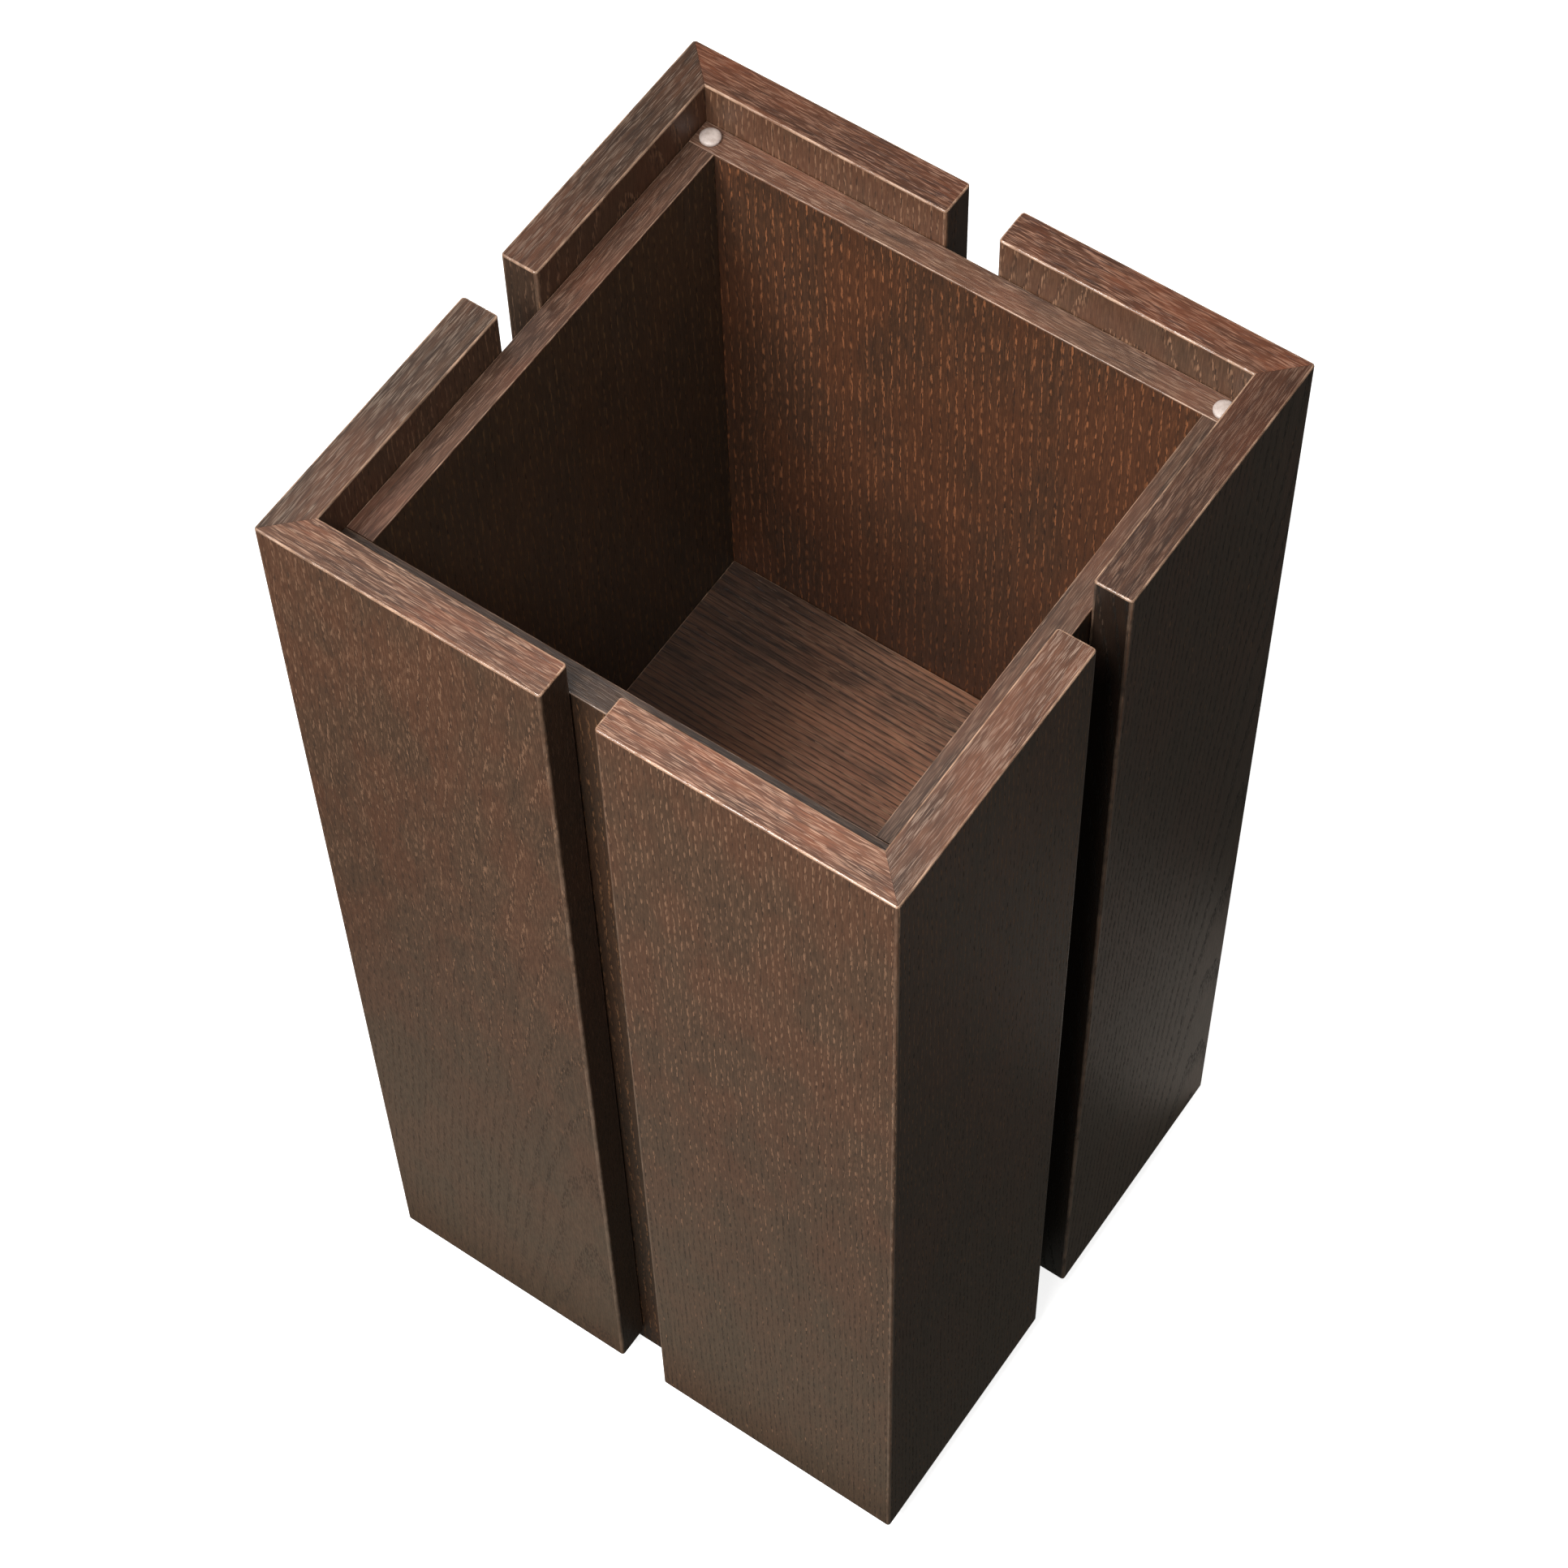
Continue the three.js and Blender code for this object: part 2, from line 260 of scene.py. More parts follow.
def bored(piece, cutters):
    """Takes the cutters out of the piece, and removes them."""
    for cutter in cutters:
        boolean = piece.modifiers.new("bore", "BOOLEAN")
        boolean.operation = "DIFFERENCE"
        boolean.solver = "EXACT"
        boolean.object = cutter
    bpy.context.view_layer.update()
    depsgraph = bpy.context.evaluated_depsgraph_get()
    mesh = bpy.data.meshes.new_from_object(piece.evaluated_get(depsgraph))
    piece.modifiers.clear()
    piece.data = mesh
    for cutter in cutters:
        bpy.data.objects.remove(cutter)
    return piece


# ------------------------------------------------------------------ turned pieces

def turned_data(profile, sides, rotation, place):
    """A solid turned about +Z from (radius, height) pairs that start and end on the axis, then moved."""
    solid = bmesh.new()
    tip_low = solid.verts.new((0, 0, profile[0][1]))
    tip_high = solid.verts.new((0, 0, profile[-1][1]))
    rings = []
    for radius, height in profile[1:-1]:
        angles = [2 * math.pi * i / sides for i in range(sides)]
        rings.append(add_ring(solid, [
            (radius * math.cos(t), radius * math.sin(t), height) for t in angles
        ]))
    for lower, upper in zip(rings, rings[1:]):
        join_rings(solid, lower, upper)
    for i in range(sides):
        j = (i + 1) % sides
        solid.faces.new((tip_low, rings[0][j], rings[0][i]))
        solid.faces.new((tip_high, rings[-1][i], rings[-1][j]))
    matrix = Matrix.Translation(place) @ rotation.to_4x4()
    bmesh.ops.transform(solid, matrix=matrix, verts=solid.verts)
    return solid


UPRIGHT = Matrix.Identity(3)


OUTWARD = {
    "front": Vector((0, -1, 0)),
    "right": Vector((1, 0, 0)),
    "back": Vector((0, 1, 0)),
    "left": Vector((-1, 0, 0)),
}


def middle(node):
    low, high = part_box(node)
    return (low + high) / 2


def turn_z_to(direction):
    return Vector((0, 0, 1)).rotation_difference(direction).to_matrix()


# ------------------------------------------------------------------ node helpers

class Look:
    """Builds one procedural material."""

    def __init__(self, name):
        self.material = bpy.data.materials.new(name)
        self.material.use_nodes = True
        self.nodes = self.material.node_tree.nodes
        self.links = self.material.node_tree.links
        self.nodes.clear()
        output = self.nodes.new("ShaderNodeOutputMaterial")
        self.shader = self.nodes.new("ShaderNodeBsdfPrincipled")
        self.links.new(self.shader.outputs[0], output.inputs["Surface"])
        self.place = self.nodes.new("ShaderNodeTexCoord").outputs["Object"]

    def put(self, value, socket):
        if isinstance(value, bpy.types.NodeSocket):
            self.links.new(value, socket)
        else:
            socket.default_value = value

    def math(self, operation, *values):
        node = self.nodes.new("ShaderNodeMath")
        node.operation = operation
        for i, value in enumerate(values):
            self.put(value, node.inputs[i])
        return node.outputs[0]

    def vector(self, operation, a, b):
        node = self.nodes.new("ShaderNodeVectorMath")
        node.operation = operation
        self.put(a, node.inputs[0])
        self.put(b, node.inputs[1])
        return node.outputs[0]

    def split(self, vector):
        node = self.nodes.new("ShaderNodeSeparateXYZ")
        self.put(vector, node.inputs[0])
        return node.outputs[0], node.outputs[1], node.outputs[2]

    def combine(self, x, y, z):
        node = self.nodes.new("ShaderNodeCombineXYZ")
        for i, value in enumerate((x, y, z)):
            self.put(value, node.inputs[i])
        return node.outputs[0]

    def noise(self, vector, scale=1.0, detail=2.0, roughness=0.5, colour=False):
        node = self.nodes.new("ShaderNodeTexNoise")
        self.put(vector, node.inputs["Vector"])
        node.inputs["Scale"].default_value = scale
        node.inputs["Detail"].default_value = detail
        node.inputs["Roughness"].default_value = roughness
        return node.outputs["Color" if colour else "Fac"]

    def cells(self, vector, output="Distance"):
        node = self.nodes.new("ShaderNodeTexVoronoi")
        self.put(vector, node.inputs["Vector"])
        node.inputs["Scale"].default_value = 1.0
        return node.outputs[output]

    def smooth(self, value, low, high, to_low=0.0, to_high=1.0):
        node = self.nodes.new("ShaderNodeMapRange")
        node.interpolation_type = "SMOOTHSTEP"
        for i, item in enumerate((value, low, high, to_low, to_high)):
            self.put(item, node.inputs[i])
        return node.outputs[0]

    def mix(self, amount, a, b):
        node = self.nodes.new("ShaderNodeMix")
        node.data_type = "RGBA"
        self.put(amount, node.inputs["Factor"])
        self.put(colour(a), node.inputs["A"])
        self.put(colour(b), node.inputs["B"])
        return node.outputs["Result"]

    def attribute(self, name):
        node = self.nodes.new("ShaderNodeAttribute")
        node.attribute_name = name
        return node.outputs["Fac"]

    def bump(self, height, distance, strength):
        node = self.nodes.new("ShaderNodeBump")
        self.put(height, node.inputs["Height"])
        node.inputs["Distance"].default_value = distance
        node.inputs["Strength"].default_value = strength
        self.links.new(node.outputs[0], self.shader.inputs["Normal"])

    def surface(self, base, roughness, specular=0.5):
        self.put(base, self.shader.inputs["Base Color"])
        self.put(roughness, self.shader.inputs["Roughness"])
        self.shader.inputs["Specular IOR Level"].default_value = specular


def linear(value):
    return value / 12.92 if value <= 0.04045 else ((value + 0.055) / 1.055) ** 2.4


def colour(value):
    """An sRGB triple of 0 to 255 as a linear colour; a socket passes through."""
    if isinstance(value, bpy.types.NodeSocket):
        return value
    return (*[linear(channel / 255) for channel in value], 1.0)


# ------------------------------------------------------------------ wood

GRAIN_AXES = {"x": (1, 2, 0), "y": (0, 2, 1), "z": (0, 1, 2)}


# What sets one kind of oak surface apart, besides its colours. Lengths are in metres.
STAIN_DEFAULTS = {
    "pore_width": 0.62 * MM,
    "pore_length": 4.2 * MM,
    "pore_share": 0.6,  # how many places have a pore
    "pore_strength": 0.5,
    "light_share": 0.5,  # how many pores are filled with light rather than dark stain
    "crowding": 0.5,  # how far the pores keep to the early wood
    "ring_width": 4 * MM,
    "ring_depth": 0.25,
    "ring_start": 0.4,  # where the early wood starts in a ring
    "distortion": 3.0,  # how wavy the rings are
    "streaks": 0.6,
    "flecks": 0.35,
    "worn": 0.5,  # how pale the rounded edges are: thin stain, with a painted highlight
    "polish": 0.15,  # how much glossier they are
    "gloss": 0.45,
    "relief": 0.6,
    "dark_foot": 0.0,  # painted sheen: paler, greyer and less red towards the foot, in place of the pale floor's reflection; the value sets how much more stain the pores hold there
    "dark_left": 0.0,  # painted shade: darker towards the left wall of the well, which shades the floor
}
# The darkest stain, in the fibres; also the colour of the painted shade on the floor of the well.
DEEP_STAIN_AND_SHADE = (30, 21, 16)
# The dark colour given to the ends of the boards beside a slit.
SLIT_END_DARK = (20, 16, 12)
# A paler, greyer tone painted at the foot of the boards as sheen from the floor.
FOOT_SHEEN = (100, 85, 67)
# Rubbed oak, pale enough to be partly a painted highlight on the rounded edges.
RUBBED_OAK_AND_HIGHLIGHT = (196, 160, 134)


class Stain:
    """How one kind of oak surface looks. Colours are sRGB."""

    def __init__(self, dark, mid, red, pore_light, pore_dark, **more):
        self.more = more
        self.dark, self.mid, self.red = dark, mid, red
        self.pore_light, self.pore_dark = pore_light, pore_dark
        for name, value in {**STAIN_DEFAULTS, **more}.items():
            setattr(self, name, value)

    def varied(self, shift=(1, 1, 1), **changes):
        """The same stain on another leaf of veneer: lighter, darker or with more or less grain."""
        colours = (self.dark, self.mid, self.red, self.pore_light, self.pore_dark)
        shifted = [[channel * s for channel, s in zip(item, shift)] for item in colours]
        return Stain(*shifted, **{**self.more, **changes})


def oak(name, grain, offset, pith, tilt, stain):
    """Dark stained oak. grain is the axis the fibres follow. pith is where the middle of the tree lies,
    seen along the fibres, and tilt is how the fibres lean from it; together they set the figure."""
    look = Look(name)
    axes = look.split(look.place)
    a, b, along = (axes[i] for i in GRAIN_AXES[grain])
    fibre = look.vector("ADD", look.combine(a, b, along), offset)
    right, up = axes[0], axes[2]

    def stretched(across, lengthways):
        return look.combine(
            look.math("MULTIPLY", a, across), look.math("MULTIPLY", b, across),
            look.math("MULTIPLY", along, lengthways),
        )

    # The fibres wander a little.
    drift = look.noise(look.vector("MULTIPLY", fibre, (14, 14, 5)), detail=2, colour=True)
    drift = look.vector("MULTIPLY", look.vector("SUBTRACT", drift, (0.5, 0.5, 0.5)), (0.006, 0.006, 0))
    a, b, along = look.split(look.vector("ADD", fibre, drift))

    # Growth rings round the pith.
    ring_a = look.math("MULTIPLY_ADD", along, tilt[0], look.math("SUBTRACT", a, pith[0] + offset[0]))
    ring_b = look.math("MULTIPLY_ADD", along, tilt[1], look.math("SUBTRACT", b, pith[1] + offset[1]))
    ring_a = look.math("SUBTRACT", ring_a, offset[2] * tilt[0])
    ring_b = look.math("SUBTRACT", ring_b, offset[2] * tilt[1])
    wave = look.nodes.new("ShaderNodeTexWave")
    wave.wave_type = "RINGS"
    wave.rings_direction = "Z"
    wave.wave_profile = "SAW"
    look.put(look.combine(ring_a, ring_b, look.math("MULTIPLY", along, 0.04)), wave.inputs["Vector"])
    wave.inputs["Scale"].default_value = 0.314 / stain.ring_width
    wave.inputs["Distortion"].default_value = stain.distortion
    wave.inputs["Detail"].default_value = 2.5
    wave.inputs["Detail Scale"].default_value = 1.1
    wave.inputs["Detail Roughness"].default_value = 0.55
    early = look.smooth(wave.outputs["Fac"], stain.ring_start, 0.97)

    # Short open pores, crowded into the early wood of each ring.
    pore_space = stretched(1 / stain.pore_width, 1 / stain.pore_length)
    chance = look.split(look.cells(pore_space, output="Color"))
    limit = 1 - stain.pore_share
    present = look.smooth(chance[0], limit - 0.08, limit + 0.08)
    crowd = look.math("MULTIPLY_ADD", early, stain.crowding, 1 - stain.crowding)
    pore = look.smooth(look.cells(pore_space), 0.64, 0.36)
    pore = look.math("MULTIPLY", pore, look.math("MULTIPLY", present, crowd))

    # Fibres, streaks and slow patches.
    thread = look.noise(stretched(2400, 60), detail=3, roughness=0.6)
    streak = look.noise(stretched(300, 9), detail=4, roughness=0.6)
    patch = look.noise(stretched(28, 13), detail=3, roughness=0.6)

    base = look.mix(look.smooth(streak, 0.3, 0.7, 1 - stain.streaks, 1.0), stain.dark, stain.mid)
    base = look.mix(look.smooth(patch, 0.4, 0.62, 0, 0.9), base, stain.red)
    # Painted sheen: the foot of a board turns paler, greyer and less red, standing in for the reflection of
    # the pale floor.
    if stain.dark_foot:
        base = look.mix(look.smooth(up, 0.4, 0.05, 0, 0.4), base, FOOT_SHEEN)
    base = look.mix(look.math("MULTIPLY", early, stain.ring_depth), base, stain.dark)
    base = look.mix(look.smooth(thread, 0.4, 0.68, 0.0, 0.26), base, DEEP_STAIN_AND_SHADE)
    share = stain.light_share
    if stain.dark_foot:  # the pores hold more stain towards the foot of a board, where painted sheen makes it greyer and less red
        share = look.smooth(up, 0.15, 0.5, share - stain.dark_foot, share)
    is_light = look.smooth(look.math("ADD", chance[1], share), 0.92, 1.08)
    tone = look.mix(is_light, stain.pore_dark, stain.pore_light)
    base = look.mix(look.math("MULTIPLY", pore, stain.pore_strength), base, tone)

    # Fine dashes between the pores, light ones and dark ones.
    dash = look.noise(stretched(2300, 110), detail=1.5, roughness=0.5)
    base = look.mix(look.smooth(dash, 0.52, 0.68, 0, stain.flecks), base, stain.pore_light)
    base = look.mix(look.smooth(dash, 0.46, 0.32, 0, stain.flecks), base, stain.pore_dark)

    if stain.dark_left:  # painted shade: the floor of the well is darker towards the left wall, which shades it
        base = look.mix(look.smooth(right, 0.0, -0.1, 0, stain.dark_left), base, DEEP_STAIN_AND_SHADE)

    # The ends of the boards, beside the slits, are darker.
    base = look.mix(look.math("MULTIPLY", look.attribute("slit_end"), 0.5), base, SLIT_END_DARK)

    # Stain rubs thin on the rounded edges, and a pale highlight is painted on them as well.
    rub = look.noise(look.vector("MULTIPLY", fibre, (220, 220, 90)), detail=3)
    rubbed_and_highlight = look.math("MULTIPLY", look.attribute("worn"), look.smooth(rub, 0.35, 0.7, 0.25, 1.0))
    base = look.mix(look.math("MULTIPLY", rubbed_and_highlight, stain.worn), base, RUBBED_OAK_AND_HIGHLIGHT)

    rough = look.math("MULTIPLY_ADD", thread, 0.16, stain.gloss - 0.08)
    rough = look.math("MULTIPLY_ADD", pore, 0.2, rough)
    rough = look.math("MULTIPLY_ADD", look.attribute("worn"), -stain.polish, rough)
    look.surface(base, rough, 0.5)
    height = look.math("MULTIPLY_ADD", thread, 0.35, look.math("MULTIPLY", pore, -1.0))
    height = look.math("MULTIPLY_ADD", early, -0.25, height)
    look.bump(height, 0.12 * MM, stain.relief)
    return look.material


OUTSIDE = Stain(
    (73, 53, 39), (91, 66, 49), (96, 63, 45), (160, 120, 92), (43, 31, 23),
    pore_width=0.6 * MM, pore_length=4.4 * MM, pore_share=0.75, pore_strength=0.78, light_share=0.7,
    dark_foot=0.6, streaks=0.6, ring_width=3 * MM, ring_start=0.5, ring_depth=0.25, crowding=0.9,
    flecks=0.12, worn=0.25, distortion=2.0,
)
TOP_EDGE = Stain(
    (66, 46, 35), (106, 75, 57), (114, 72, 51), (190, 162, 142), (54, 37, 28),
    pore_width=0.5 * MM, pore_length=6 * MM, pore_strength=0.4, light_share=0.5, streaks=1.0,
    ring_width=2.6 * MM, ring_depth=0.35, worn=0.7, flecks=0.3, polish=0.3,
)
RIM_EDGE = Stain(
    (62, 44, 34), (94, 68, 53), (102, 67, 50), (156, 128, 108), (48, 34, 26),
    pore_width=0.5 * MM, pore_length=6 * MM, pore_strength=0.4, light_share=0.5, streaks=1.0,
    ring_width=2.6 * MM, ring_depth=0.35, worn=0.5, flecks=0.3,
)
INSIDE = Stain(
    (60, 40, 28), (78, 52, 38), (86, 52, 35), (164, 100, 62), (44, 29, 21),
    pore_width=0.6 * MM, pore_length=4.6 * MM, pore_share=0.75, pore_strength=0.8, light_share=0.75,
    crowding=0.92, ring_width=4.2 * MM, ring_start=0.5, ring_depth=0.25, streaks=0.6, flecks=0.1,
)
FLOOR = Stain(
    (48, 33, 24), (160, 112, 85), (164, 109, 79), (188, 143, 110), (38, 26, 18),
    pore_width=0.6 * MM, pore_length=7 * MM, pore_strength=0.6, light_share=0.35, crowding=0.6,
    ring_width=3.2 * MM, ring_start=0.6, ring_depth=0.9, streaks=1.0, relief=0.8, flecks=0.2,
    dark_left=0.75, distortion=4.5,
)


# One leaf of veneer is lighter, redder or greyer than the next. Part of this is painted light and shade:
# the tops of the posts are made lighter or darker board by board as the light falls on them, the front rim,
# low between the front posts, is painted darker, and the left wall of the well greyer, in place of the
# sheen over its shade.
TOP_TONES_AND_SHADE = {
    ("front_left", "face"): (1.0, 0.94, 0.89),
    ("front_right", "face"): (1.1, 1.03, 0.98),
    ("front_left", "side"): (0.78, 0.8, 0.8),
    ("back_left", "side"): (0.76, 0.76, 0.75),
    ("back_left", "face"): (0.94, 0.82, 0.75),
    ("back_right", "face"): (0.98, 0.86, 0.79),
    ("back_right", "side"): (0.74, 0.68, 0.64),
    ("front_right", "side"): (0.9, 0.9, 0.9),
}
RIM_TONES_AND_SHADE = {
    # Painted shade: the front rim, low between the front posts, is darker.
    "front": (0.7, 0.69, 0.66),
    "right": (0.92, 0.91, 0.9),
    "back": (1.1, 1.08, 1.06),
    "left": (0.94, 0.9, 0.88),
}
WALL_TONES_AND_SHEEN = {
    "front": (0.85, 0.96, 1.0),
    "right": (0.78, 0.88, 0.92),
    "back": (1.0, 1.02, 1.02),
    # Painted sheen: the left wall is greyer, standing in for the haze of sheen over its shade.
    "left": (0.9, 1.15, 1.3),
}

# The pattern of the rings on the face of each post board, and what else differs there.
FIGURES = {
    ("front_left", "face"): (
        "tall", {"light_share": 0.55, "pore_strength": 0.6, "crowding": 0.7, "ring_depth": 0.14},
    ),
    ("front_right", "face"): ("straight", {}),
    ("front_left", "side"): ("straight", {}),
    ("back_left", "side"): ("arched", {}),
    ("back_left", "face"): ("straight", {}),
    ("back_right", "face"): ("arched", {}),
    ("back_right", "side"): (
        "tall", {"ring_width": 3.2 * MM, "ring_depth": 0.85, "pore_strength": 1.0, "light_share": 0.1},
    ),
    ("front_right", "side"): ("straight", {"light_share": 0.8, "pore_strength": 0.9}),
}

# Each group of pieces counts on from its own number, so that no two pieces share a part of the tree.
POST_LIPPINGS, WALLS, RIMS, PANEL, CLEATS, DOWELS = 20, 40, 50, 60, 70, 80


def offset_for(index):
    """A different part of the tree for every piece."""
    return (0.37 * index, 0.61 * (index % 7), 1.13 * (index % 5))


def pine(name, grain, offset):
    look = Look(name)
    axes = look.split(look.place)
    a, b, along = (axes[i] for i in GRAIN_AXES[grain])
    fibre = look.vector("ADD", look.combine(a, b, along), offset)
    bands = look.noise(look.vector("MULTIPLY", fibre, (420, 420, 9)), detail=3)
    fuzz = look.noise(look.vector("MULTIPLY", fibre, (2400, 2400, 160)), detail=2)
    saw = look.noise(look.vector("MULTIPLY", fibre, (60, 60, 900)), detail=2)
    base = look.mix(look.smooth(bands, 0.35, 0.7), (205, 170, 118), (168, 122, 74))
    base = look.mix(look.smooth(fuzz, 0.4, 0.7, 0, 0.3), base, (126, 92, 58))
    look.surface(base, look.math("MULTIPLY_ADD", fuzz, 0.2, 0.6))
    look.bump(look.math("ADD", look.math("MULTIPLY", saw, 0.7), fuzz), 0.1 * MM, 0.5)
    return look.material


def beech(name, offset):
    look = Look(name)
    axes = look.split(look.place)
    fibre = look.vector("ADD", look.combine(axes[0], axes[2], axes[1]), offset)
    bands = look.noise(look.vector("MULTIPLY", fibre, (600, 600, 30)), detail=3)
    flecks = look.cells(look.vector("MULTIPLY", fibre, (1800, 1800, 420)))
    base = look.mix(look.smooth(bands, 0.35, 0.7), (208, 172, 128), (178, 138, 96))
    base = look.mix(look.smooth(flecks, 0.35, 0.1, 0, 0.6), base, (138, 98, 64))
    look.surface(base, look.math("MULTIPLY_ADD", bands, 0.15, 0.55))
    look.bump(bands, 0.05 * MM, 0.4)
    return look.material


def zinc(name):
    look = Look(name)
    stain = look.noise(look.place, scale=900, detail=3)
    scratch = look.noise(look.vector("MULTIPLY", look.place, (3000, 3000, 400)), detail=2)
    base = look.mix(look.smooth(stain, 0.35, 0.7), (206, 196, 158), (170, 160, 128))
    base = look.mix(look.smooth(scratch, 0.55, 0.75, 0, 0.5), base, (120, 112, 92))
    look.surface(base, look.math("MULTIPLY_ADD", stain, 0.25, 0.22))
    look.shader.inputs["Metallic"].default_value = 1.0
    look.bump(scratch, 0.03 * MM, 0.4)
    return look.material


def nylon(name):
    look = Look(name)
    pebble = look.noise(look.place, scale=2600, detail=3)
    scuff = look.noise(look.vector("MULTIPLY", look.place, (900, 300, 900)), detail=4)
    base = look.mix(look.smooth(scuff, 0.5, 0.75, 0, 0.7), (30, 29, 28), (66, 62, 58))
    look.surface(base, look.math("MULTIPLY_ADD", pebble, 0.3, 0.4))
    look.bump(pebble, 0.04 * MM, 0.5)
    return look.material


def pale_pad(name):
    look = Look(name)
    fine = look.noise(look.place, scale=2600, detail=3)
    dust = look.noise(look.place, scale=420, detail=4, roughness=0.6)
    base = look.mix(look.smooth(dust, 0.35, 0.7), (192, 178, 170), (172, 156, 147))
    base = look.mix(look.smooth(fine, 0.5, 0.72, 0, 0.35), base, (146, 130, 120))
    look.surface(base, look.math("MULTIPLY_ADD", fine, 0.2, 0.36))
    look.bump(fine, 0.05 * MM, 0.5)
    return look.material


def paint(piece, material):
    piece.data.materials.clear()
    piece.data.materials.append(material)


# ------------------------------------------------------------------ the posts

index = 0
for corner_name, (sign_x, sign_y) in CORNERS.items():
    for board_name in ("face", "side"):
        index += 1
        low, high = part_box(f"post_{corner_name}_{board_name}")
        centre = (low + high) / 2
        kind, changes = FIGURES[corner_name, board_name]
        across = Vector((1, 0)) if board_name == "face" else Vector((0, 1))
        inward = Vector((0, -sign_y)) if board_name == "face" else Vector((-sign_x, 0))
        if kind == "arched":  # the pith lies behind the board, so its rings cross the face as arches
            pith = centre.xy + inward * 0.06
            tilt = inward * -0.07 + across * 0.01
        elif kind == "tall":  # the same, nearer the quarter of the log: one side of a long arch
            pith = centre.xy + inward * 0.07 + across * 0.05
            tilt = inward * -0.04 - across * 0.06
        else:  # the pith lies far to one side, so the rings run up the face as straight lines
            pith = centre.xy + inward * 0.06 + across * 0.3
            tilt = across * 0.012
        board = make_post_board(corner_name, board_name, "board")
        board_look = oak(
            f"oak_{corner_name}_{board_name}", "z", offset_for(index), pith, tilt, OUTSIDE.varied(**changes)
        )
        paint(board, board_look)
        lipping = make_post_board(corner_name, board_name, "lipping")
        lip_stain = TOP_EDGE.varied(TOP_TONES_AND_SHADE[corner_name, board_name])
        lip_look = oak(
            f"oak_{corner_name}_{board_name}_lipping", "x" if board_name == "face" else "y",
            offset_for(POST_LIPPINGS + index), (0.12, 0.3), (0.02, 0.01), lip_stain,
        )
        paint(lipping, lip_look)

# ------------------------------------------------------------------ fittings

def glide_profile(node, room=0.0):
    low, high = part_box(node)
    radius = (high.x - low.x) / 2
    plate = 2 * MM
    round_edge = 0.5 * MM
    bevel = 0.15 * MM
    pin = 1 * MM
    point = 2 * MM
    points = [(0, 0), (radius - round_edge, 0)]
    points += [
        (radius - round_edge * (1 - math.sin(t)), round_edge * (1 - math.cos(t)))
        for t in (math.pi / 6, math.pi / 3, math.pi / 2)
    ]
    points += [
        (radius, plate - bevel), (radius - bevel, plate), (pin + room, plate),
        (pin + room, high.z - point), (0, high.z + room),
    ]
    return points


def screw_profile(room=0.0):
    head, shank, length = 3.5 * MM, 1.75 * MM, 23 * MM
    cone, edge, tip = 2.2 * MM, 0.3 * MM, 4 * MM
    return [
        (0, -room), (head + room, -room), (head + room, edge), (shank + room, cone + edge),
        (shank + room, length - tip), (0, length + room),
    ]


def screw_seat(side, number):
    """The middle of the head of a screw, and the way it points."""
    low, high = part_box(f"cleat_screw_{side}_{number}")
    direction = OUTWARD[side]
    half = abs((high - low).dot(direction)) / 2
    return (low + high) / 2 - direction * half, direction


def cutter_object(mesh_data):
    mesh = bpy.data.meshes.new("cutter")
    bmesh.ops.recalc_face_normals(mesh_data, faces=mesh_data.faces)
    mesh_data.to_mesh(mesh)
    mesh_data.free()
    cutter = bpy.data.objects.new("cutter", mesh)
    bpy.context.scene.collection.objects.link(cutter)
    return cutter


def screw_cutter(side, number):
    seat, direction = screw_seat(side, number)
    return cutter_object(turned_data(screw_profile(HOLE_ROOM), HOLE_SIDES, turn_z_to(direction), seat))


def dowel_cutter(node):
    low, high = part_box(node)
    radius = (high.x - low.x) / 2 + HOLE_ROOM
    half = (high.y - low.y) / 2 + HOLE_ROOM
    profile = [(0, -half), (radius, -half), (radius, half), (0, half)]
    return cutter_object(turned_data(profile, HOLE_SIDES, turn_z_to(OUTWARD["back"]), middle(node)))


def glide_cutter(node):
    place = middle(node)
    profile = glide_profile(node, HOLE_ROOM)
    return cutter_object(turned_data(profile, HOLE_SIDES, UPRIGHT, (place.x, place.y, 0)))


# ------------------------------------------------------------------ the inner box

def is_long(a, b, axis):
    return abs(a[axis] - b[axis]) > LONG_EDGE


def run_of(side):
    """The axis that a side of the box runs along: 0 is X, 1 is Y."""
    return 0 if side in ("front", "back") else 1


